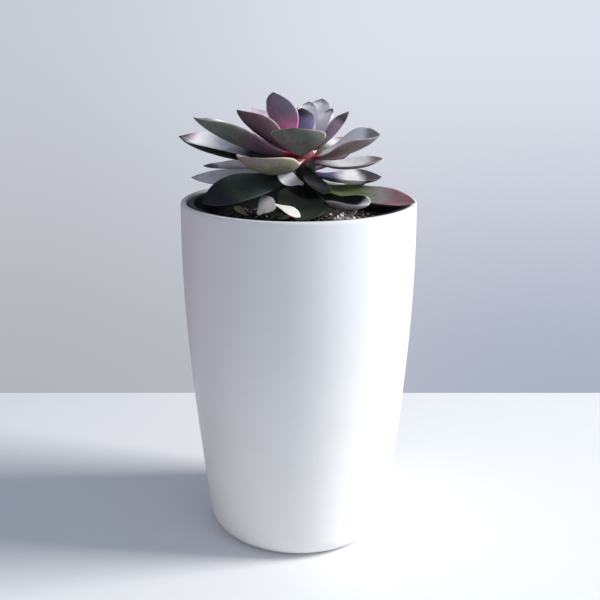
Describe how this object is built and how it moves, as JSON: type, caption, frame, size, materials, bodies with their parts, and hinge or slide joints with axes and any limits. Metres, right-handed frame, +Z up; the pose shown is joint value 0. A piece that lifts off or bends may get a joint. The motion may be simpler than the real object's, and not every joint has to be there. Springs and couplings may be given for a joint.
{
  "type": "potted succulent",
  "caption": "Potted rosette succulent: cupped grey-purple leaves on a short leaning stem, in soil in a dark insert inside a tall tapered white cover pot.",
  "frame": {"origin": "centre of the pot's foot, on the surface that it stands on", "axes": "+Z up; the side shown in the picture faces -Y, and +X is to its right"},
  "size_m": [0.1204, 0.1204, 0.2335],
  "materials": {
    "white_glaze": "satin",
    "insert_plastic": "satin",
    "soil": "matte",
    "stem": "matte",
    "leaf": "matte"
  },
  "bodies": {
    "root": {"cover_pot": "white_glaze", "insert_pot": "insert_plastic", "potting_soil": "soil", "stem": "stem", "leaf_01": "leaf", "leaf_02": "leaf", "leaf_03": "leaf", "leaf_04": "leaf", "leaf_05": "leaf", "leaf_06": "leaf", "leaf_07": "leaf", "leaf_08": "leaf", "leaf_09": "leaf", "leaf_10": "leaf", "leaf_11": "leaf", "leaf_12": "leaf", "leaf_13": "leaf", "leaf_14": "leaf", "leaf_15": "leaf", "leaf_16": "leaf", "leaf_17": "leaf", "leaf_18": "leaf", "leaf_19": "leaf", "leaf_20": "leaf", "leaf_21": "leaf", "leaf_22": "leaf", "leaf_23": "leaf", "leaf_24": "leaf", "leaf_25": "leaf", "leaf_26": "leaf", "leaf_27": "leaf", "leaf_28": "leaf", "leaf_29": "leaf", "leaf_30": "leaf", "leaf_31": "leaf", "leaf_32": "leaf", "leaf_33": "leaf", "leaf_34": "leaf", "leaf_35": "leaf", "leaf_36": "leaf"}
  },
  "joints": []
}
